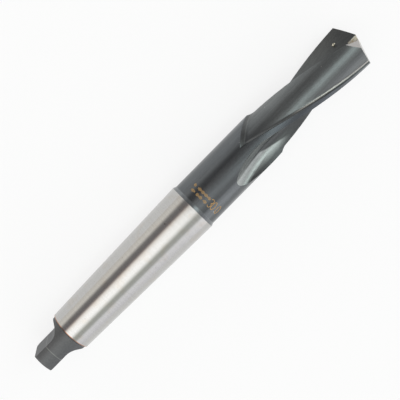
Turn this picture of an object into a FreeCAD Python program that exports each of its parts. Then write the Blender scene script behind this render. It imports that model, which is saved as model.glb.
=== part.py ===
import FreeCAD, Part

import math
import os

from FreeCAD import Vector

# Two-flute drill with a brazed cutting plate and a self-holding taper shank.
# It lies along X with its point towards +X. X is 0 where the taper is widest.
# The flats of the tang face +Y and -Y. All lengths are in mm, all angles in degrees.

# Cutting part
cutting_diameter = 30.0
corner_station = 131.6
helix_angle = 15.0
lip_turn = 150.3

# Flutes
flute_opening = 91.5
web_at_point = 6.2
web_growth_per_length = 0.012
gullet_corner = -1.1
gullet_radius_at_point = 1.6
gullet_radius_growth = 0.055
flute_full_to = 60.5
flute_cutter_radius = 63.0
flute_straightening = 0.0122

# Margins and relieved lands
margin_width = 2.45
relief_depth = 1.4
margin_step_slope = 60.0
margin_step_round = 2.0
relief_past_heel = 12.0
relief_ramp_bite = 0.5
relief_end_at_heel = 59.2
relief_end_at_margin = 42.6

# Point
point_angle = 135.0
lip_clearance = 14.0
gash_direction = -60.0
heel_facet_offset = 3.0
heel_facet_height = 1.5
heel_facet_slope = 46.4
heel_facet_fall = -108.7
notch_wall_offset = 1.86
notch_floor_depth = 1.4
notch_floor_slope = 51.6
notch_floor_fall = -161.8

# Cutting plate and the braze that holds it
plate_thickness = 7.2
plate_seat_station = 124.2
braze_thickness = 0.15

# Neck, collar and taper shank
collar_length = 2.0
taper_large_diameter = 31.6
taper_length = 100.0
taper_ratio = 19.254

# Tang
tang_diameter = 24.5
tang_thickness = 11.9
tang_length = 23.0
tang_shoulder_chamfer = 0.95
tang_flat_gap = 2.0
tang_root_radius = 8.0
tang_corner_radius = 2.5
centre_diameter = 6.3
centre_pilot_diameter = 2.5
centre_pilot_depth = 7.0
centre_angle = 60.0

# Room that cutting shapes have past the metal, and how finely helical ones are drawn
overrun = 8.0
helical_step = 8.0
runout_step = 3.0

cutting_radius = cutting_diameter / 2
relieved_radius = cutting_radius - relief_depth
helix_pitch = math.pi * cutting_diameter / math.tan(math.radians(helix_angle))
helix_rate = 360.0 / helix_pitch
web_half = web_at_point / 2
corner_angle = math.degrees(math.asin(web_half / cutting_radius))
heel_angle = corner_angle + flute_opening
land_angle = 180.0 - flute_opening
margin_angle = math.degrees(margin_width / cutting_radius)
axis_point = Vector(0, 0, 0)
axis_direction = Vector(1, 0, 0)


def polar(radius, angle):
    """A point of a cross-section, from its distance to the axis and its angle."""
    turn = math.radians(angle)
    return Vector(0, radius * math.cos(turn), radius * math.sin(turn))


def polygon(points):
    return Part.makePolygon(list(points) + [points[0]])


def helix_turn(station):
    """How far the cross-section is turned at a station along the axis."""
    return lip_turn + helix_rate * (station - corner_station)


def set_section(wire, station, turn):
    wire.rotate(axis_point, axis_direction, turn)
    wire.translate(Vector(station, 0, 0))
    return wire


def both_sides(shape):
    """The shape and its twin on the other side of the axis."""
    twin = shape.copy()
    twin.rotate(axis_point, axis_direction, 180)
    return [shape, twin]


def steps(start, end, step):
    count = max(2, math.ceil(abs(end - start) / step))
    return [start + (end - start) * index / count for index in range(count + 1)]


def flute_section(station, lift):
    """One flute across the axis: the rake side, the round of the gullet, the heel side."""
    behind_point = corner_station - station
    gullet_radius = gullet_radius_at_point + gullet_radius_growth * max(0, behind_point)
    outside = cutting_radius + overrun
    heel = polar(relieved_radius, heel_angle)
    corner = Vector(0, gullet_corner, web_half)
    uphill = (heel - corner).normalize()
    half_angle = math.atan2(uphill.z, uphill.y) / 2
    tangent = gullet_radius / math.tan(half_angle)
    rake_outer = Vector(0, outside, web_half)
    rake_inner = corner + Vector(0, tangent, 0)
    wall_inner = corner + uphill * tangent
    round_middle = corner + polar(gullet_radius / math.sin(half_angle) - gullet_radius,
                                  math.degrees(half_angle))
    past_heel = heel + uphill * overrun
    far_corner = Vector(0, outside, past_heel.z)
    edges = [
        Part.LineSegment(rake_outer, rake_inner).toShape(),
        Part.Arc(rake_inner, round_middle, wall_inner).toShape(),
        Part.LineSegment(wall_inner, past_heel).toShape(),
        Part.LineSegment(past_heel, far_corner).toShape(),
        Part.LineSegment(far_corner, rake_outer).toShape(),
    ]
    wire = Part.Wire(edges)
    rise = web_growth_per_length * behind_point + lift
    wire.translate(polar(rise, corner_angle + flute_opening / 2))
    return wire


def flute():
    """The space of one flute, which turns with the helix and then rises out of the bar."""
    tip_station = corner_station + cutting_radius
    deepest = cutting_radius + overrun / 2
    runout = math.sqrt(2 * flute_cutter_radius * deepest - deepest ** 2)
    sections = []
    for station in steps(tip_station, flute_full_to, helical_step):
        sections.append(set_section(flute_section(station, 0), station, helix_turn(station)))
    for distance in steps(0, runout, runout_step)[1:]:
        station = flute_full_to - distance
        lift = flute_cutter_radius - math.sqrt(flute_cutter_radius ** 2 - distance ** 2)
        turn = helix_turn(station) + flute_straightening * distance ** 2
        sections.append(set_section(flute_section(station, lift), station, turn))
    return Part.makeLoft(sections, True, False)


def relief_section(station):
    """What is ground off a land across the axis: a round foot at the margin, then concentric."""
    step_angle = corner_angle - margin_angle
    slope = math.radians(margin_step_slope)
    outwards = polar(1, step_angle + 90 - margin_step_slope)
    away = polar(1, step_angle - margin_step_slope)
    reach = relieved_radius + margin_step_round
    beside = cutting_radius * math.cos(slope) + margin_step_round
    depth = cutting_radius * math.sin(slope) - math.sqrt(reach ** 2 - beside ** 2)
    centre = polar(cutting_radius, step_angle) + away * margin_step_round - outwards * depth
    wall_foot = centre - away * margin_step_round
    land_start = centre * (relieved_radius / reach)
    way_in = ((wall_foot + land_start) * 0.5 - centre).normalize()
    past_heel = corner_angle - land_angle - relief_past_heel
    middle = (step_angle + past_heel) / 2
    outside = cutting_radius + overrun
    wall_top = wall_foot + outwards * overrun
    land_end = polar(relieved_radius, past_heel)
    outer_end = polar(outside, past_heel)
    edges = [
        Part.Arc(land_start, centre + way_in * margin_step_round, wall_foot).toShape(),
        Part.LineSegment(wall_foot, wall_top).toShape(),
        Part.Arc(wall_top, polar(outside, middle), outer_end).toShape(),
        Part.LineSegment(outer_end, land_end).toShape(),
        Part.Arc(land_end, polar(relieved_radius, middle), land_start).toShape(),
    ]
    return set_section(Part.Wire(edges), station, helix_turn(station))


def ramp_side(end_angle, station):
    """Across the axis, all that lies on the margin's side of the ramp where the relief ends.

    The ramp is nearly tangent to the relieved land, so that the cut fades out."""
    slope = math.degrees(math.acos(relieved_radius / cutting_radius)) + relief_ramp_bite
    foot = polar(cutting_radius * math.cos(math.radians(slope)), end_angle + slope)
    rim = foot + polar(cutting_diameter, end_angle + slope - 90)
    far = [polar(cutting_diameter * 2, end_angle + turn) for turn in (0, 60, 120)]
    return set_section(polygon([axis_point, foot, rim] + far), station, helix_turn(station))


def relief():
    """What is ground off one land behind its margin, with the slanted end of the cut."""
    heel_offset = corner_angle - land_angle
    margin_offset = corner_angle - margin_angle
    slope = (margin_offset - heel_offset) / (relief_end_at_heel - relief_end_at_margin)
    ramp_start = relief_end_at_heel + overrun
    tip_station = corner_station + cutting_radius
    cuts = []
    for first, last in ((tip_station, ramp_start), (ramp_start, relief_end_at_margin)):
        sections = [relief_section(station) for station in steps(first, last, helical_step)]
        cuts.append(Part.makeLoft(sections, True, False))
    ramp = []
    for station in steps(ramp_start, relief_end_at_margin, runout_step):
        ramp.append(ramp_side(heel_offset + slope * (relief_end_at_heel - station), station))
    cuts[1] = cuts[1].common(Part.makeLoft(ramp, True, False))
    return cuts


def above(station, fall, slope):
    """The space past a ground plane that crosses the axis at a station and falls one way."""
    tilt = math.radians(slope)
    normal = polar(math.sin(tilt), fall) + axis_direction * math.cos(tilt)
    reach = cutting_diameter * 2
    return Part.makeCylinder(reach, reach, Vector(station, 0, 0), normal)


def in_front(direction, offset):
    """The space in front of a wall along the axis, which faces one way at an offset from it."""
    way = polar(1, direction)
    reach = cutting_diameter * 2
    return Part.makeCylinder(reach, reach, way * offset + axis_direction * corner_station, way)


def point_grinds():
    """For each lip its flank, the facet on the heel, and the notch that thins the web."""
    lip_fall = math.tan(math.radians(90 - point_angle / 2))
    back_fall = math.tan(math.radians(lip_clearance))
    corner = polar(cutting_radius, corner_angle)
    flank_station = corner_station + corner.y * lip_fall - corner.z * back_fall
    flank_slope = math.degrees(math.atan(math.hypot(lip_fall, back_fall)))
    flank_direction = -math.degrees(math.atan2(back_fall, lip_fall))
    flank = above(flank_station, flank_direction, flank_slope)
    facet = above(flank_station + heel_facet_height, heel_facet_fall, heel_facet_slope)
    floor = above(flank_station - notch_floor_depth, notch_floor_fall, notch_floor_slope)
    tools = both_sides(flank)
    for space, offset in ((facet, heel_facet_offset), (floor, notch_wall_offset)):
        tools += both_sides(space.common(in_front(gash_direction, offset)))
    for tool in tools:
        tool.rotate(axis_point, axis_direction, lip_turn)
    return tools


def grinding_tools():
    """Everything that shapes the cutting part, in the order it is milled and ground."""
    tools = both_sides(flute())
    for cut in relief():
        tools += both_sides(cut)
    return tools + point_grinds()


def ground(shape, tools):
    for tool in tools:
        shape = shape.cut(tool)
    return shape


def slab(thickness, start):
    """A slab across the bar along the lips, from a station out past the point."""
    width = cutting_diameter * 1.5
    length = corner_station + cutting_diameter - start
    box = Part.makeBox(length, width, thickness, Vector(start, -width / 2, -thickness / 2))
    box.rotate(axis_point, axis_direction, lip_turn)
    return box


def bar():
    """The turned bar: cutting diameter, collar cone, taper, then the round of the tang."""
    taper_small_radius = (taper_large_diameter - taper_length / taper_ratio) / 2
    taper_large_radius = taper_large_diameter / 2
    tang_radius = tang_diameter / 2
    tang_end = -taper_length - tang_length
    tip_station = corner_station + cutting_radius
    corner_middle = tang_corner_radius * (1 - math.sqrt(0.5))
    rim = Vector(tang_end, tang_radius - tang_corner_radius, 0)
    round_middle = Vector(tang_end + corner_middle, tang_radius - corner_middle, 0)
    round_end = Vector(tang_end + tang_corner_radius, tang_radius, 0)
    turned = [
        round_end,
        Vector(-taper_length - tang_shoulder_chamfer, tang_radius, 0),
        Vector(-taper_length, taper_small_radius, 0),
        Vector(0, taper_large_radius, 0),
        Vector(collar_length, cutting_radius, 0),
        Vector(tip_station, cutting_radius, 0),
        Vector(tip_station, 0, 0),
        Vector(tang_end, 0, 0),
        rim,
    ]
    edges = [Part.LineSegment(a, b).toShape() for a, b in zip(turned, turned[1:])]
    edges.append(Part.Arc(rim, round_middle, round_end).toShape())
    profile = Part.Face(Part.Wire(edges))
    return profile.revolve(axis_point, axis_direction, 360)


def tang_flat():
    """What is milled off one side of the tang, with the round that the cutter leaves."""
    half = tang_thickness / 2
    tang_end = -taper_length - tang_length
    wall = -taper_length - tang_flat_gap
    arc_middle = tang_root_radius * math.sqrt(0.5)
    arc_centre = Vector(wall - tang_root_radius, half + tang_root_radius, -tang_diameter)
    arc_start = arc_centre + Vector(0, -tang_root_radius, 0)
    arc_half = arc_centre + Vector(arc_middle, -arc_middle, 0)
    arc_end = arc_centre + Vector(tang_root_radius, 0, 0)
    outer = tang_diameter
    corners = [
        arc_end,
        Vector(wall, outer, -tang_diameter),
        Vector(tang_end - overrun, outer, -tang_diameter),
        Vector(tang_end - overrun, half, -tang_diameter),
        arc_start,
    ]
    edges = [Part.LineSegment(a, b).toShape() for a, b in zip(corners, corners[1:])]
    edges.append(Part.Arc(arc_start, arc_half, arc_end).toShape())
    return Part.Face(Part.Wire(edges)).extrude(Vector(0, 0, tang_diameter * 2))


def centre_hole():
    """The centre in the tang's end, a cone and a short pilot, that the bar was turned on."""
    tang_end = -taper_length - tang_length
    mouth = centre_diameter / 2
    pilot = centre_pilot_diameter / 2
    depth = (mouth - pilot) / math.tan(math.radians(centre_angle / 2))
    start = Vector(tang_end, 0, 0)
    cone = Part.makeCone(mouth, pilot, depth, start, axis_direction)
    drilled = Part.makeCylinder(pilot, centre_pilot_depth, start, axis_direction)
    return cone.fuse(drilled)


def drill_body(tools):
    seat = slab(plate_thickness + 2 * braze_thickness, plate_seat_station - braze_thickness)
    body = ground(bar().cut(seat), tools)
    return ground(body, both_sides(tang_flat()) + [centre_hole()])


def carbide_tip(tools):
    plate = bar().common(slab(plate_thickness, plate_seat_station))
    return ground(plate, tools)


def braze_seam(tools):
    filler = slab(plate_thickness + 2 * braze_thickness, plate_seat_station - braze_thickness)
    layer = bar().common(filler.cut(slab(plate_thickness, plate_seat_station)))
    return ground(layer, tools)


def main():
    os.makedirs("parts", exist_ok=True)
    tools = grinding_tools()
    pieces = {
        "drill_body": drill_body(tools),
        "carbide_tip": carbide_tip(tools),
        "braze_seam": braze_seam(tools),
    }
    for name, shape in pieces.items():
        shape.exportStep(os.path.join("parts", name + ".step"))
        print(name, len(shape.Solids), "solid", round(shape.Volume, 1), shape.isValid())


main()
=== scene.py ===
# %% [markdown]
# # A taper-shank drill with a brazed cutting plate
#
# The drill arrives as a finished CAD model. This notebook dresses it: it sets the camera and
# a small studio, then gives each metal its own surface, and last adds a size mark and a bead
# of braze. All lengths are in metres in the frame of the CAD model: X runs along the drill to
# its point, and X = 0 is where the taper is widest.

import math

import bmesh
import bpy
from mathutils import Matrix, Vector, noise


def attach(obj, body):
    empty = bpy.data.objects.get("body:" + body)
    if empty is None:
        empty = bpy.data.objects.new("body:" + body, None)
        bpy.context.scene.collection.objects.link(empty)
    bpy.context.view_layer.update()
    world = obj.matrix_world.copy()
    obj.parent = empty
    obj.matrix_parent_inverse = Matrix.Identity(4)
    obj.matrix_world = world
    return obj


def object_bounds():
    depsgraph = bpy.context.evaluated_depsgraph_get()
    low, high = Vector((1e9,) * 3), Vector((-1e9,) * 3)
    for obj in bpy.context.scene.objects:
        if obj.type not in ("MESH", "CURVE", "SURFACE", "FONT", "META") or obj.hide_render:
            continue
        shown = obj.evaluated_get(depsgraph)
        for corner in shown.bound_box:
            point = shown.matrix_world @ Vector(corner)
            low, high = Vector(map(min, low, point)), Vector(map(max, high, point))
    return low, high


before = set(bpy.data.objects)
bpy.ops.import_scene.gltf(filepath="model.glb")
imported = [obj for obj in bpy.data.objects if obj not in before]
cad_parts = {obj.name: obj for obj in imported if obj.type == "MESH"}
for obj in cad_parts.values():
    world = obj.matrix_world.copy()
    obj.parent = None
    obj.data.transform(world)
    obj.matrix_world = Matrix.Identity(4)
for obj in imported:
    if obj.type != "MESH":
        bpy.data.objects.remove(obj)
cad_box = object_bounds()
MM = 0.001
print("nodes:", sorted(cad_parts))

# %% [markdown]
# ## Camera
#
# The photograph looks straight down on the lying drill, from the side of one tang flat, with
# the point at the upper right. The bulge of the rings on the taper shows how strong the
# perspective is, which gives the distance. Building the camera from three directions, right,
# up and back, is clearer here than aiming it at an empty and then rolling it.

# %% Camera
IMAGE_SIZE = 400
FOCAL_PIXELS = 726
DISTANCE = 421 * MM
ROLL = 45.44
SIDE_TILT = 11.5
LOOK_AT = Vector((6.09, -0.23, 0.05)) * MM

tilt = math.radians(SIDE_TILT)
toward_camera = Vector((0, math.sin(tilt), math.cos(tilt)))
along_drill = Vector((1, 0, 0))
across_drill = along_drill.cross(toward_camera).normalized()
roll = math.radians(ROLL)
right = along_drill * math.cos(roll) + across_drill * math.sin(roll)
up = along_drill * math.sin(roll) - across_drill * math.cos(roll)

lens = bpy.data.cameras.new("camera")
lens.lens = lens.sensor_width * FOCAL_PIXELS / IMAGE_SIZE
camera = bpy.data.objects.new("camera", lens)
stand = Matrix((right, up, toward_camera)).transposed().to_4x4()
stand.translation = LOOK_AT + toward_camera * DISTANCE
camera.matrix_world = stand
bpy.context.scene.collection.objects.link(camera)
bpy.context.scene.camera = camera
print("lens", round(lens.lens, 1), "mm")

# %% [markdown]
# ## Two helpers
#
# Colours are written as the hex values a paint program shows, and a shader wants them linear.
# Every material below is a small network, so one function adds a node and fills its sockets
# in a single call: a socket given there becomes a link, a hex code a colour, and a number
# stays a number.

# %% Helpers


def colour(hex_code, alpha=1.0):
    """An sRGB hex colour as the linear value that a shader wants."""
    parts = [int(hex_code[start:start + 2], 16) / 255 for start in (1, 3, 5)]
    linear = [p / 12.92 if p <= 0.04045 else ((p + 0.055) / 1.055) ** 2.4 for p in parts]
    return (*linear, alpha)


def add(tree, kind, inputs=None, **settings):
    """Adds a node: settings on the node, then a link, a colour or a value on each socket."""
    node = tree.nodes.new(kind)
    for name, value in settings.items():
        setattr(node, name, value)
    for name, value in (inputs or {}).items():
        if isinstance(value, bpy.types.NodeSocket):
            tree.links.new(value, node.inputs[name])
        else:
            node.inputs[name].default_value = colour(value) if isinstance(value, str) else value
    return node


print("middle grey is", round(colour("#808080")[0], 3), "in linear light")

# %% [markdown]
# ## Floor
#
# The background of the photograph is plain white. A floor that camera, glossy and transmitted
# rays partly see as a white of its own, mixed with matt paper that catches light, stays white
# and keeps a faint shadow. A lamp strong enough to wash paper out would burn out the steel.

# %% Floor sheet
FLOOR_SIZE = 20.0

floor_mesh = bpy.data.meshes.new("floor")
half = FLOOR_SIZE / 2
corners = [(-half, -half, 0), (half, -half, 0), (half, half, 0), (-half, half, 0)]
floor_mesh.from_pydata(corners, [], [(0, 1, 2, 3)])
floor = bpy.data.objects.new("floor", floor_mesh)
floor.location.z = cad_box[0].z
bpy.context.scene.collection.objects.link(floor)
print("floor at", round(floor.location.z / MM, 1), "mm")

# %% White paper
# Uncoated paper scatters light evenly, so it shows the soft shadow and no gloss.
PAPER_WHITE = "#FFFFFF"
SHADOW_STRENGTH = 0.2

paper = bpy.data.materials.new("white_paper")
paper.use_nodes = True
tree = paper.node_tree
tree.nodes.clear()
rays = add(tree, "ShaderNodeLightPath").outputs
seen = rays["Is Camera Ray"]
for ray in ("Is Glossy Ray", "Is Transmission Ray"):
    seen = add(tree, "ShaderNodeMath", {0: seen, 1: rays[ray]}, operation="MAXIMUM").outputs[0]
share = add(tree, "ShaderNodeMath", {0: seen, 1: 1 - SHADOW_STRENGTH}, operation="MULTIPLY")
matt = add(tree, "ShaderNodeBsdfDiffuse", {"Color": PAPER_WHITE})
glow = add(tree, "ShaderNodeEmission", {"Color": PAPER_WHITE, "Strength": 1.0})
blend = add(tree, "ShaderNodeMixShader",
            {0: share.outputs[0], 1: matt.outputs[0], 2: glow.outputs[0]})
add(tree, "ShaderNodeOutputMaterial", {"Surface": blend.outputs[0]})
floor_mesh.materials.append(paper)
print("paper keeps", SHADOW_STRENGTH, "of its shadow")

# %% [markdown]
# ## Studio
#
# A long round bar shows the room as stripes along itself, so the stripes in the photograph say
# how the room was lit: a bright softbox above, a dark gap on its left, a grey one on its right,
# then wide pale walls. The softbox stops short of the neck, and a narrower one hangs over the
# point. A row of area lamps would do, but a world whose brightness depends on the angle across
# the drill draws such stripes with no noise.
#
# The stops below aren't a plain studio, though. Their colours go back to rows sampled across
# the drill in the photograph, divided by the metal's tone and then changed, so this
# light fits one photograph. A few plain panels in neutral greys would be the better way.

# %% Stripes of the room
# Each stop is an angle in degrees from straight above, positive to the right, and a colour.
OVER_SHANK = [
    (-180, "#848380"), (-142, "#898784"), (-55, "#C1BEB8"), (-42, "#6C6A69"), (-25, "#5F5C5D"),
    (-19, "#7C716E"), (-13, "#D2CCC5"), (-5, "#EDEAE6"), (5, "#F8F8F7"), (20, "#F9F9F8"),
    (27, "#E4E5E3"), (40, "#949690"), (57, "#9B9D9A"), (62, "#C0C1C2"), (70, "#CACACD"),
    (145, "#A2A2A6"), (180, "#848380"),
]
OVER_NECK = [
    (-180, "#989899"), (-100, "#989899"), (-62, "#B5B5B6"), (-56, "#A7A7A8"), (-50, "#7F7F80"),
    (-36, "#59595A"), (0, "#636364"), (36, "#AEAEAF"), (55, "#989899"), (61, "#ABABAC"),
    (65, "#EDEDEE"), (145, "#FEFEFF"), (180, "#989899"),
]
OVER_POINT = [
    (-180, "#8E8F90"), (-76, "#909193"), (-60, "#A2A2A2"), (-53, "#949493"), (-45, "#706F6F"),
    (-4, "#767676"), (4, "#929391"), (9, "#C4CDCC"), (14, "#EAF5F4"), (21, "#E8F3F2"),
    (41, "#949594"), (63, "#909092"), (115, "#D4D5D8"), (140, "#DCDCE0"), (160, "#A8A8AA"),
    (180, "#8E8F90"),
]
print("stripes:", len(OVER_SHANK), "shank,", len(OVER_NECK), "neck,", len(OVER_POINT), "point")

# %% [markdown]
# The direction of a ray, split along the axes of the drill, says which part of the room it
# meets. Its angle across the drill picks the place on a ramp, and how far it leans along the
# drill picks the ramp. The strength is above 1 so that the softbox can be brighter than the
# walls, which stay near 1.

# %% Studio world
STUDIO_STRENGTH = 1.95
NECK_LEAN = -0.04
POINT_LEAN = 0.11
LEAN_CHANGE = 0.02

world = bpy.data.worlds.new("studio")
bpy.context.scene.world = world
world.use_nodes = True
tree = world.node_tree
tree.nodes.clear()
direction = add(tree, "ShaderNodeTexCoord").outputs["Generated"]
shares = [
    add(tree, "ShaderNodeVectorMath", {0: direction, 1: axis}, operation="DOT_PRODUCT")
    for axis in (across_drill, toward_camera, along_drill)
]
across, toward, along = [share.outputs["Value"] for share in shares]
angle = add(tree, "ShaderNodeMath", {0: across, 1: toward}, operation="ARCTAN2").outputs[0]
on_ramp = add(tree, "ShaderNodeMath", {0: angle, 1: 1 / math.tau, 2: 0.5},
              operation="MULTIPLY_ADD").outputs[0]

rooms = []
for stops in (OVER_SHANK, OVER_NECK, OVER_POINT):
    ramp = add(tree, "ShaderNodeValToRGB", {0: on_ramp})
    elements = ramp.color_ramp.elements
    while len(elements) < len(stops):
        elements.new(1.0)
    for element, (degrees, code) in zip(elements, stops):
        element.position = (degrees + 180) / 360
        element.color = colour(code)
    rooms.append(ramp.outputs[0])
print("ramps in the world:", len(rooms))

# %% [markdown]
# Where sockets share a name, as in the Math and the Mix nodes, they are called by their place
# in the node's list. The Mix node has one set of them for colours and one for numbers. One
# function lays values over a base with it, each where its own mask is 1, as a painter lays
# coats: it does for the room, the colours and the roughness alike.

# %% Coats over a base
MIX_SOCKETS = {"RGBA": (6, 7, 2), "FLOAT": (2, 3, 0)}


def coats(tree, base, layers, data_type="RGBA"):
    """Lays each (mask, value) over a base in turn, and gives the socket of the result."""
    under, over, result = MIX_SOCKETS[data_type]
    for mask, value in layers:
        mix = add(tree, "ShaderNodeMix", {"Factor": mask, under: base, over: value},
                  data_type=data_type)
        base = mix.outputs[result]
    return base


leans = []
for lean in (NECK_LEAN, POINT_LEAN):
    passed = add(tree, "ShaderNodeMapRange", {
        "Value": along, "From Min": lean - LEAN_CHANGE, "From Max": lean + LEAN_CHANGE,
    })
    leans.append(passed.outputs[0])
room = coats(tree, rooms[0], zip(leans, rooms[1:]))
light = add(tree, "ShaderNodeBackground", {"Color": room, "Strength": STUDIO_STRENGTH})
add(tree, "ShaderNodeOutputWorld", {"Surface": light.outputs[0]})
bpy.context.scene.view_settings.view_transform = "Standard"
print("studio strength", STUDIO_STRENGTH)

# %% [markdown]
# ## Where each finish lies
#
# The steel body is one solid, but the real one shows several surfaces: the ground taper, the
# blackened neck and margins, the smoother lands, the milled flutes and tang, and the bright
# facets of the point. Splitting the mesh would spoil the CAD model, and painting masks by hand
# would need a texture. Here each mask is worked out in the shader from what the shop did: the
# place along the axis, how squarely the surface faces away from the axis, or how far it faces
# the point.

# %% Measures on the drill
OFF_AXIS = (0.0, 1.0, 1.0)


def measure(tree):
    """Where a point of the surface lies on the drill and which way it faces, as sockets."""
    where = add(tree, "ShaderNodeTexCoord").outputs
    place, facing = where["Object"], where["Normal"]
    off_axis = add(tree, "ShaderNodeVectorMath", {0: place, 1: OFF_AXIS}, operation="MULTIPLY")
    outward = add(tree, "ShaderNodeVectorMath", {0: off_axis.outputs[0]}, operation="NORMALIZE")
    round_way = add(tree, "ShaderNodeVectorMath", {0: along_drill, 1: outward.outputs[0]},
                    operation="CROSS_PRODUCT")
    radius = add(tree, "ShaderNodeVectorMath", {0: off_axis.outputs[0]}, operation="LENGTH")
    squarely, swept = [
        add(tree, "ShaderNodeVectorMath", {0: way.outputs[0], 1: facing}, operation="DOT_PRODUCT")
        for way in (outward, round_way)
    ]
    return {
        "place": place,
        "x": add(tree, "ShaderNodeSeparateXYZ", {0: place}).outputs["X"],
        "forward": add(tree, "ShaderNodeSeparateXYZ", {0: facing}).outputs["X"],
        "radius": radius.outputs["Value"],
        "squarely": squarely.outputs["Value"],
        "swept": swept.outputs["Value"],
    }


print("the drill reaches from", round(cad_box[0].x / MM), "to", round(cad_box[1].x / MM), "mm")

# %% [markdown]
# A mask is 1 where one of these measures lies between two bounds, and its edges are soft, so
# that a finish fades as worn or polished metal does. A bound left out is open. Where several
# things have to hold at once, the masks are multiplied.

# %% Masks with soft edges
SHARP = 0.05 * MM


def all_of(tree, *masks):
    """1 only where every mask is 1."""
    result = masks[0]
    for mask in masks[1:]:
        result = add(tree, "ShaderNodeMath", {0: result, 1: mask}, operation="MULTIPLY").outputs[0]
    return result


def between(tree, value, low=None, high=None, soft=SHARP):
    """1 where a value lies between two bounds, fading over a soft distance at each of them."""
    sides = []
    for bound, before, after in ((low, 0.0, 1.0), (high, 1.0, 0.0)):
        if bound is not None:
            side = add(tree, "ShaderNodeMapRange", {
                "Value": value, "From Min": bound - soft, "From Max": bound + soft,
                "To Min": before, "To Max": after,
            })
            sides.append(side.outputs[0])
    return all_of(tree, *sides)


print("sharp masks fade over", 2 * SHARP / MM, "mm")

# %% [markdown]
# The simplest masks are zones along the bar, as a drawing would dimension them: the tang with
# a light ring round it, a painted highlight of a small step, the taper with its copper-coloured
# end, the blackened collar, and the stretch where the flutes fade out into the neck.

# %% Zones along the bar
TAPER_START = -100 * MM
TAPER_END = 0.0
COLLAR_END = 2.1 * MM
COPPER_EDGE_WIDTH = 0.35 * MM
RING_PLACE = -114 * MM
RING_WIDTH = 0.35 * MM
RUNOUT_END = 60 * MM
RUNOUT_FADE = 12 * MM


def zones(tree, at):
    """Masks that depend on the place along the axis alone."""
    x = at["x"]
    return {
        "tang": between(tree, x, high=TAPER_START),
        "ring": between(tree, x, RING_PLACE, RING_PLACE + RING_WIDTH),
        "copper_edge": between(tree, x, TAPER_START, TAPER_START + COPPER_EDGE_WIDTH),
        "taper": between(tree, x, TAPER_START, TAPER_END),
        "collar": between(tree, x, TAPER_END, COLLAR_END),
        "runout": between(tree, x, high=RUNOUT_END, soft=RUNOUT_FADE),
    }


print("taper", round((TAPER_END - TAPER_START) / MM), "mm long")

# %% [markdown]
# Across the bar, what the lathe left lies at the full radius, and everything that was milled or
# relieved lies below it. A land still faces squarely outward there, while the step beside a
# margin and the slope that ends a relief lean, which tells them from it. The margins begin
# gradually, because the round of the neck carries on as them.

# %% Turned, relieved and stepped surfaces
TURNED_RADIUS = 14.85 * MM
MARGIN_START = 55 * MM
MARGIN_FADE = 12 * MM
LAND_SQUARELY = 0.965
LAND_FADE = 0.01
SLOPE_LEAST = 0.3
SLOPE_FADE = 0.02
STEP_SLOPE_MOST = 0.94
STEP_FOOT = 13.6 * MM
STEP_TOP = 14.15 * MM
STEP_START = 80 * MM
STEP_FADE = 6 * MM
RAMP_SLOPE_MOST = 0.955
RAMP_FOOT = 13.3 * MM
RAMP_START = 38 * MM
RAMP_END = 76 * MM
RAMP_FADE = 4 * MM


def lands(tree, at):
    """Masks of what was turned or relieved, by radius and by how squarely it faces outward."""
    x, radius, squarely = at["x"], at["radius"], at["squarely"]
    turned = between(tree, radius, TURNED_RADIUS)
    return {
        "land": between(tree, squarely, LAND_SQUARELY, soft=LAND_FADE),
        "turned": turned,
        "margin": all_of(tree, turned, between(tree, x, MARGIN_START, soft=MARGIN_FADE)),
        "step": all_of(tree, between(tree, squarely, SLOPE_LEAST, STEP_SLOPE_MOST, SLOPE_FADE),
                       between(tree, radius, STEP_FOOT, STEP_TOP),
                       between(tree, x, STEP_START, soft=STEP_FADE)),
        "ramp": all_of(tree, between(tree, squarely, SLOPE_LEAST, RAMP_SLOPE_MOST, SLOPE_FADE),
                       between(tree, radius, RAMP_FOOT, TURNED_RADIUS),
                       between(tree, x, RAMP_START, RAMP_END, RAMP_FADE)),
    }


print("margin step", round((STEP_TOP - STEP_FOOT) / MM, 2), "mm high")

# %% [markdown]
# Only the point faces forward, so its facets need no outline: how far the surface faces along
# the axis finds them, and the distance from the axis finds the core.

# %% Ground point
POINT_START = 115 * MM
FACET_FORWARD = 0.45
FACET_FADE = 0.02
CORE_START = 130.3 * MM
CORE_START_FADE = 0.3 * MM
CORE_RADIUS = 3.55 * MM
CORE_FADE = 0.15 * MM


def ground_point(tree, at):
    """Masks of the facets, which face forward, and of the notched core beside the chisel."""
    x, radius, forward = at["x"], at["radius"], at["forward"]
    return {
        "facets": all_of(tree, between(tree, forward, FACET_FORWARD, soft=FACET_FADE),
                         between(tree, x, POINT_START)),
        "core": all_of(tree, between(tree, radius, high=CORE_RADIUS, soft=CORE_FADE),
                       between(tree, x, CORE_START, soft=CORE_START_FADE)),
    }


print("core", round(2 * CORE_RADIUS / MM, 1), "mm across")

# %% [markdown]
# Where the flute runs out, a leaf-shaped patch of its wall and part of its rim are given a light
# colour, a painted highlight. The wall has no edge there, so the leaf is bounded by how
# far the wall has turned about the axis, by the place along it and by the radius. Each side
# of the leaf is a sum of two of these, which gives it a slanting edge.

# %% Painted highlight in the run-out
LEAF_END = 69 * MM
LEAF_END_FADE = 3 * MM
# One measure times a number, plus another measure, lies above a low or below a high bound.
LEAF_SIDES = {
    "floor": {"of": "x", "times": 35.0, "plus": "swept", "high": 1.39, "soft": 0.2},
    "tip": {"of": "x", "times": -0.245, "plus": "radius", "low": -6.43 * MM, "soft": 0.4 * MM},
    "wall": {"of": "radius", "times": -63.0, "plus": "swept", "low": -1.65, "soft": 0.12},
}
RIM_SWEPT = 0.2
RIM_FADE = 0.1
RIM_HIGHLIGHT_SHARE = 0.6


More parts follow.
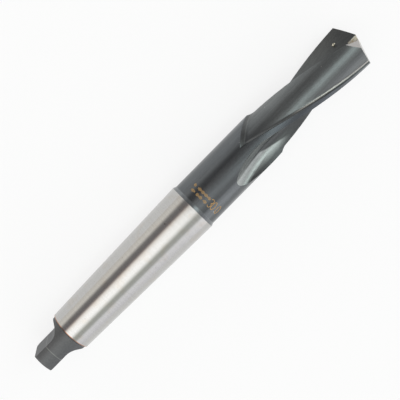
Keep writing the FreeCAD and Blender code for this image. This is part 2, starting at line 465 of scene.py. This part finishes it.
def leaf(tree, at):
    """The mask of the painted highlight on the flute's wall and on its rim."""
    sides = {}
    for name, side in LEAF_SIDES.items():
        total = add(tree, "ShaderNodeMath",
                    {0: at[side["of"]], 1: side["times"], 2: at[side["plus"]]},
                    operation="MULTIPLY_ADD").outputs[0]
        sides[name] = between(tree, total, side.get("low"), side.get("high"), side["soft"])
    patch = all_of(tree, sides["floor"], sides["tip"])
    rim = all_of(tree, between(tree, at["swept"], RIM_SWEPT, soft=RIM_FADE), RIM_HIGHLIGHT_SHARE)
    patch = add(tree, "ShaderNodeMath", {0: patch, 1: rim}, operation="MAXIMUM").outputs[0]
    end = between(tree, at["x"], high=LEAF_END, soft=LEAF_END_FADE)
    return all_of(tree, patch, sides["wall"], end)


print("leaf with", len(LEAF_SIDES), "slanting sides, up to", round(LEAF_END / MM), "mm")

# %% [markdown]
# ## Grain, streaks and specks
#
# Nothing from a workshop is even. Three small patterns cover what the eye finds here: a fine
# grain, streaks that a wheel or a wiping cloth draws along or round the bar, and a few specks
# of dust. Each is a noise or Voronoi texture on the object's own coordinates, so it stays put
# when the drill is turned, and each scale is one over a real size. Real grinding grit leaves
# lines of a few hundredths of a millimetre, which no pixel could show, so the grain is drawn
# as coarse as it needs to be.

# %% Waves about 0
NOISE_LOW = 0.25
NOISE_HIGH = 0.75


def pattern(tree, place, size, stretch=(1.0, 1.0, 1.0), detail=2.0):
    """Noise from -1 to 1 whose grains have a real size, stretched along some axis."""
    scaled = add(tree, "ShaderNodeVectorMath", {0: place, 1: stretch}, operation="MULTIPLY")
    texture = add(tree, "ShaderNodeTexNoise",
                  {"Vector": scaled.outputs[0], "Scale": 1 / size, "Detail": detail})
    return add(tree, "ShaderNodeMapRange", {
        "Value": texture.outputs[0], "From Min": NOISE_LOW, "From Max": NOISE_HIGH,
        "To Min": -1.0, "To Max": 1.0,
    }).outputs[0]


def shade(tree, tone, amount, *waves):
    """A colour made lighter and darker by some waves about 0."""
    factor = 1.0
    for wave in waves:
        factor = add(tree, "ShaderNodeMath", {0: wave, 1: amount, 2: factor},
                     operation="MULTIPLY_ADD").outputs[0]
    return add(tree, "ShaderNodeVectorMath", {0: tone, "Scale": factor},
               operation="SCALE").outputs[0]


print("noise between", NOISE_LOW, "and", NOISE_HIGH, "is spread from -1 to 1")

# %% Specks
SPECK_CORE = 0.5
SPECK_EDGE = 1.2


def specks(tree, place, spacing, radius, share):
    """1 inside small dots scattered about a spacing, of which only a share is kept."""
    cells = add(tree, "ShaderNodeTexVoronoi", {"Vector": place, "Scale": 1 / spacing}).outputs
    dot = add(tree, "ShaderNodeMapRange", {
        "Value": cells["Distance"], "From Min": SPECK_CORE * radius / spacing,
        "From Max": SPECK_EDGE * radius / spacing, "To Min": 1.0, "To Max": 0.0,
    })
    chance = add(tree, "ShaderNodeSeparateXYZ", {0: cells["Color"]}).outputs["X"]
    kept = add(tree, "ShaderNodeMath", {0: chance, 1: share}, operation="LESS_THAN")
    return all_of(tree, dot.outputs[0], kept.outputs[0])


print("a speck fades from", SPECK_CORE, "to", SPECK_EDGE, "of its radius")

# %% [markdown]
# ## Black oxide over ground and milled steel
#
# The working end was ground and milled, then blackened in a hot salt bath. The oxide is about
# a micrometre thick, so it darkens the metal and leaves its gloss: the turned neck and the
# lands mirror the room as soft stripes, and the milled flutes and tang are nearer to matt.
# The light colour on the step beside a margin and on the flute's wall in the run-out is a
# painted highlight.

# %% Blackened steel
# Milled: the flutes, with a painted highlight on their wall in the run-out, and the tang with
# its ring, also a painted highlight.
OXIDE_FLUTE = "#626464"
FLUTE_PAINTED_HIGHLIGHT = "#B6BAB8"
OXIDE_TANG = "#6C6D6E"
# The ring's light colour is a painted highlight of a small step's edge.
RING_PAINTED_HIGHLIGHT = "#8C8E8C"
# Relieved: the lands, with painted shade toward the neck, the slope at their end, and the
# step, whose light colour is a painted highlight.
OXIDE_LAND = "#797C7C"
# Darker toward the neck: painted shade.
OXIDE_LAND_PAINTED_SHADE = "#606364"
OXIDE_RAMP = "#666868"
STEP_PAINTED_HIGHLIGHT = "#C6C4BE"
# Turned: the neck, its margins and the collar.
OXIDE_TURNED = "#676A6C"
OXIDE_MARGIN = "#62666A"
OXIDE_COLLAR = "#808385"
DUST = "#A8A8A4"
TANG_UNEVEN = 0.14
OXIDE_UNEVEN = 0.1
DUST_SPACING = 6.3 * MM
DUST_RADIUS = 0.33 * MM
DUST_SHARE = 0.45


def blackened(tree, at, mask, grain, streaks):
    """The colour of everything that went through the salt bath."""
    flute = coats(tree, OXIDE_FLUTE, [(mask["leaf"], FLUTE_PAINTED_HIGHLIGHT)])
    land = coats(tree, OXIDE_LAND, [(mask["runout"], OXIDE_LAND_PAINTED_SHADE)])
    body = coats(tree, flute, [
        (mask["land"], land), (mask["turned"], OXIDE_TURNED), (mask["margin"], OXIDE_MARGIN),
        (mask["collar"], OXIDE_COLLAR), (mask["step"], STEP_PAINTED_HIGHLIGHT), (mask["ramp"], OXIDE_RAMP),
    ])
    tang = coats(tree, OXIDE_TANG, [(mask["ring"], RING_PAINTED_HIGHLIGHT)])
    dust = specks(tree, at["place"], DUST_SPACING, DUST_RADIUS, DUST_SHARE)
    return coats(tree, shade(tree, body, OXIDE_UNEVEN, grain, streaks), [
        (mask["tang"], shade(tree, tang, TANG_UNEVEN, grain)), (dust, DUST),
    ])


print("dust about every", DUST_SPACING / MM, "mm")

# %% [markdown]
# Grinding after the bath bares bright steel on the taper. A wheel that runs round the bar
# leaves fine rings, so the softbox is drawn out along the shank, and handling leaves faint
# warm stains and dark specks. A thin copper-coloured line marks its end at the tang.

# %% Ground taper
GROUND_TAPER = "#BDBCBA"
WARM_STAIN = "#B7AA9A"
DARK_SPECK = "#8A857E"
COPPER_EDGE = "#B07E62"
STAIN_LOW = 0.1
STAIN_HIGH = 1.2
STAIN_MOST = 0.4
TAPER_UNEVEN = 0.035
# Spacing, radius and share of the large and the small specks.
TAPER_SPECKS = [(9 * MM, 0.462 * MM, 0.4), (3 * MM, 0.198 * MM, 0.25)]


def ground(tree, at, mask, grain, rings, stains):
    """The colour of the ground taper."""
    blotch = add(tree, "ShaderNodeMapRange", {
        "Value": stains, "From Min": STAIN_LOW, "From Max": STAIN_HIGH, "To Max": STAIN_MOST,
    }).outputs[0]
    bare = coats(tree, GROUND_TAPER, [(blotch, WARM_STAIN)])
    bare = shade(tree, bare, TAPER_UNEVEN, rings, grain)
    marks = [(specks(tree, at["place"], *sizes), DARK_SPECK) for sizes in TAPER_SPECKS]
    marks.append((mask["copper_edge"], COPPER_EDGE))
    return coats(tree, bare, marks)


print("kinds of specks on the taper:", len(TAPER_SPECKS))

# %% [markdown]
# The point is ground last, through steel, braze and carbide alike. The flanks get a lighter
# colour the more squarely they face forward, a painted highlight, and the small notch beside
# the chisel is rough, pale as a painted highlight, and stained by braze.

# %% Ground facets
GROUND_FACET = "#A9A6A3"
# Lighter the more squarely a facet faces forward: a painted highlight.
FLANK_PAINTED_HIGHLIGHT = "#CAC8C5"
FLANK_LOW = 0.72
FLANK_HIGH = 0.88
# The pale notch is a painted highlight; the braze stain laid over it is real.
CORE_PAINTED_HIGHLIGHT = "#D5D2C9"
BRAZE_STAIN = "#AE9A74"
BRAZE_LOW = -0.1
BRAZE_HIGH = 0.5


def facet_tones(tree, at, grain):
    """The colours of the facets and of the notched core, with painted highlights on both."""
    flank_highlight = add(tree, "ShaderNodeMapRange",
                {"Value": at["forward"], "From Min": FLANK_LOW, "From Max": FLANK_HIGH})
    braze = add(tree, "ShaderNodeMapRange",
                {"Value": grain, "From Min": BRAZE_LOW, "From Max": BRAZE_HIGH})
    return (coats(tree, GROUND_FACET, [(flank_highlight.outputs[0], FLANK_PAINTED_HIGHLIGHT)]),
            coats(tree, CORE_PAINTED_HIGHLIGHT, [(braze.outputs[0], BRAZE_STAIN)]))


print("flanks lighten from", FLANK_LOW, "to", FLANK_HIGH, "of facing forward")

# %% [markdown]
# The body and the plate are ground together, so they share one surface, and only the name of
# the metal differs: carbide ground with a diamond wheel is as grey and nearly as bright as
# ground steel, and the thin seam alone tells them apart. The roughness follows the same masks
# as the colour: low where a wheel or a lathe left the surface, higher where a cutter did, and
# highest in the notch.

# %% Steel and carbide
ROUGH_FLUTE = 0.42
ROUGHNESS = [
    ("runout", 0.36), ("land", 0.3), ("turned", 0.24), ("tang", 0.55), ("taper", 0.16),
    ("facets", 0.3), ("core", 0.6),
]
GRAIN_SIZE = 0.6 * MM
STREAK_WIDTH = 0.9 * MM
STREAK_LENGTH = 14 * MM
STAIN_SIZE = 7 * MM
STAIN_DETAIL = 4.0


def tool_surface(name):
    """The blackened, milled and ground surface that the body and the plate share."""
    material = bpy.data.materials.new(name)
    material.use_nodes = True
    tree = material.node_tree
    tree.nodes.clear()
    at = measure(tree)
    mask = zones(tree, at) | lands(tree, at) | ground_point(tree, at)
    mask["leaf"] = leaf(tree, at)
    place, drawn_out = at["place"], STREAK_WIDTH / STREAK_LENGTH
    grain = pattern(tree, place, GRAIN_SIZE)
    streaks = pattern(tree, place, STREAK_WIDTH, (drawn_out, 1.0, 1.0))
    rings = pattern(tree, place, STREAK_WIDTH, (1.0, drawn_out, drawn_out))
    stains = pattern(tree, place, STAIN_SIZE, detail=STAIN_DETAIL)

    facet, core = facet_tones(tree, at, grain)
    tone = coats(tree, blackened(tree, at, mask, grain, streaks), [
        (mask["taper"], ground(tree, at, mask, grain, rings, stains)),
        (mask["facets"], facet), (mask["core"], core),
    ])
    rough = coats(tree, ROUGH_FLUTE, [(mask[zone], value) for zone, value in ROUGHNESS], "FLOAT")
    shader = add(tree, "ShaderNodeBsdfPrincipled",
                 {"Base Color": tone, "Roughness": rough, "Metallic": 1.0})
    add(tree, "ShaderNodeOutputMaterial", {"Surface": shader.outputs[0]})
    return material


print("zones with a roughness of their own:", [zone for zone, value in ROUGHNESS])

# %% [markdown]
# A CAD node keeps its mesh, and only the material in its slots changes. The material could be
# given to the object instead, but on the mesh it stays with it in the export.

# %% Dress the body and the plate


def dress(node, material):
    """Puts a material on every slot of a CAD node."""
    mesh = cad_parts[node].data
    if not mesh.materials:
        mesh.materials.append(material)
    for slot in range(len(mesh.materials)):
        mesh.materials[slot] = material


dress("drill_body", tool_surface("black_oxide_tool_steel"))
dress("carbide_tip", tool_surface("ground_cemented_carbide"))
print("dressed the body and the plate")

# %% [markdown]
# ## Braze
#
# The carbide plate is held in its slot by a thin layer of brass filler. Blackened with the rest
# of the body it hardly shows, and only the point's grinding bares it as a yellow line. One bead
# ran out of the seam on the rake face and stayed bright: a small ball, flattened and roughened
# by noise, is enough for something a millimetre across.

# %% Brass in the seam
# Ground brass is soft and smears, so it glows evenly where the facets beside it sparkle.
BRASS = "#C9A45A"
ROUGH_BRASS = 0.4

brass = bpy.data.materials.new("brazing_brass")
brass.use_nodes = True
tree = brass.node_tree
tree.nodes.clear()
bared = ground_point(tree, measure(tree))["facets"]
tone = coats(tree, OXIDE_FLUTE, [(bared, BRASS)])
shader = add(tree, "ShaderNodeBsdfPrincipled",
             {"Base Color": tone, "Metallic": 1.0, "Roughness": ROUGH_BRASS})
add(tree, "ShaderNodeOutputMaterial", {"Surface": shader.outputs[0]})
dress("braze_seam", brass)
print("dressed the seam")

# %% Bead of braze
# Flux burnt on the bead makes it pale and matt, so it isn't a mirror as the facets are.
BEAD_COLOUR = "#EFE8D2"
ROUGH_BEAD = 0.6
BEAD_DROPS = [
    ((124.2 * MM, 7.78 * MM, -1.0 * MM), 0.72 * MM),
    ((125.0 * MM, 7.9 * MM, -0.2 * MM), 0.42 * MM),
]
DROP_SUBDIVISIONS = 3
LUMP_HEIGHT = 0.5
LUMPS_PER_RADIUS = 1.3
BEAD_FLATNESS = 0.8

bead_metal = bpy.data.materials.new("bright_braze_bead")
bead_metal.use_nodes = True
shader = bead_metal.node_tree.nodes["Principled BSDF"]
shader.inputs["Base Color"].default_value = colour(BEAD_COLOUR)
shader.inputs["Roughness"].default_value = ROUGH_BEAD

braze_drops = bmesh.new()
for middle, radius in BEAD_DROPS:
    drop = bmesh.ops.create_icosphere(braze_drops, subdivisions=DROP_SUBDIVISIONS, radius=radius)
    for vertex in drop["verts"]:
        vertex.co *= 1 + LUMP_HEIGHT * noise.noise(vertex.co / radius * LUMPS_PER_RADIUS)
        vertex.co.y *= BEAD_FLATNESS
        vertex.co += Vector(middle)
bead_mesh = bpy.data.meshes.new("braze_bead")
braze_drops.to_mesh(bead_mesh)
braze_drops.free()
bead_mesh.materials.append(bead_metal)
bead = bpy.data.objects.new("braze_bead", bead_mesh)
bpy.context.scene.collection.objects.link(bead)
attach(bead, "root")
print("bead of", len(BEAD_DROPS), "drops")

# %% [markdown]
# ## Size mark
#
# A laser warms the blackened neck until it turns amber, and so writes the size without cutting
# into it. A decal would need an image, and a text object would lie flat, so each stroke here is
# a ribbon: a line in millimetres round and along the neck, widened, then wrapped on the round.
# The size is set in large digits, with two rows of plain bars beside it.

# %% Ribbons on the neck
NECK_RADIUS = 15 * MM
MARK_LIFT = 0.03 * MM
CURVE_STEPS = 10


def on_neck(across, along):
    """A place on the neck, from millimetres round it, from the top line, and along it."""
    turn = across / NECK_RADIUS
    out = toward_camera * math.cos(turn) + across_drill * math.sin(turn)
    return along_drill * along + out * (NECK_RADIUS + MARK_LIFT)


def ribbon(mesh, points, width):
    """Widens a line of (across, along) points into a strip on the neck."""
    rows = []
    for index, point in enumerate(points):
        before = points[max(index - 1, 0)]
        after = points[min(index + 1, len(points) - 1)]
        way = Vector((after[0] - before[0], after[1] - before[1])).normalized() * (width / 2)
        sides = [(point[0] - way.y, point[1] + way.x), (point[0] + way.y, point[1] - way.x)]
        rows.append([mesh.verts.new(on_neck(*side)) for side in sides])
    for first, second in zip(rows, rows[1:]):
        mesh.faces.new((first[0], first[1], second[1], second[0]))


def arc(middle, wide, high, start, end):
    """Points of an arc of an ellipse, between two angles in degrees."""
    points = []
    for step in range(CURVE_STEPS + 1):
        turn = math.radians(start + (end - start) * step / CURVE_STEPS)
        points.append((middle[0] + wide * math.cos(turn), middle[1] + high * math.sin(turn)))
    return points


print("ribbons lie", MARK_LIFT / MM, "mm above the neck")

# %% Digits of the size
STROKE = 0.42 * MM
DIGIT_HEIGHT = 5.2 * MM
DIGIT_WIDTH = 2.2 * MM
DIGIT_BOTTOM = 6.4 * MM
THREE_PLACE = 6.0 * MM
ZERO_PLACES = (8.6 * MM, 12.75 * MM)
THREE_START = 150
THREE_END = -90

mark = bmesh.new()
wide, high = DIGIT_WIDTH / 2, DIGIT_HEIGHT / 2
digits_middle = DIGIT_BOTTOM + high
for side in (1, -1):
    bowl = (THREE_PLACE, digits_middle + side * high / 2)
    ribbon(mark, arc(bowl, wide, high / 2, side * THREE_START, side * THREE_END), STROKE)
for zero in ZERO_PLACES:
    for start, end in ((0, 180), (180, 360)):
        ribbon(mark, arc((zero, digits_middle), wide, high, start, end), STROKE)
print("digits", DIGIT_HEIGHT / MM, "mm high")

# %% Rows of plain bars
BAR_STROKE = 0.36 * MM
BAR_SPACING = 0.62 * MM
BAR_HEIGHTS = (0.75 * MM, 0.45 * MM, 0.6 * MM, 0.95 * MM)
HEIGHT_STRIDE = 3
BAR_ROWS = [
    (10.3 * MM, [(-8.5 * MM, -6.7 * MM), (-5.2 * MM, 4.2 * MM)]),
    (7.2 * MM, [(-7.8 * MM, -4.8 * MM), (-3.5 * MM, 0.3 * MM), (1.8 * MM, 4.0 * MM)]),
]

bars = 0
for level, groups in BAR_ROWS:
    for start, end in groups:
        for step in range(int((end - start) / BAR_SPACING) + 1):
            across = start + step * BAR_SPACING
            reach = BAR_HEIGHTS[bars * HEIGHT_STRIDE % len(BAR_HEIGHTS)]
            ribbon(mark, [(across, level - reach), (across, level + reach)], BAR_STROKE)
            bars += 1
print("bars:", bars)

# %% Amber of the laser mark
# Tempering grows a film that is amber by interference, with the satin of the oxide around it.
MARK_AMBER = "#B8925C"
ROUGH_MARK = 0.5

amber = bpy.data.materials.new("laser_tempered_amber")
amber.use_nodes = True
shader = amber.node_tree.nodes["Principled BSDF"]
shader.inputs["Base Color"].default_value = colour(MARK_AMBER)
shader.inputs["Roughness"].default_value = ROUGH_MARK
mark_mesh = bpy.data.meshes.new("size_mark")
mark.to_mesh(mark_mesh)
mark.free()
mark_mesh.materials.append(amber)
size_mark = bpy.data.objects.new("size_mark", mark_mesh)
bpy.context.scene.collection.objects.link(size_mark)
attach(size_mark, "root")
print("size mark:", len(mark_mesh.polygons), "faces")
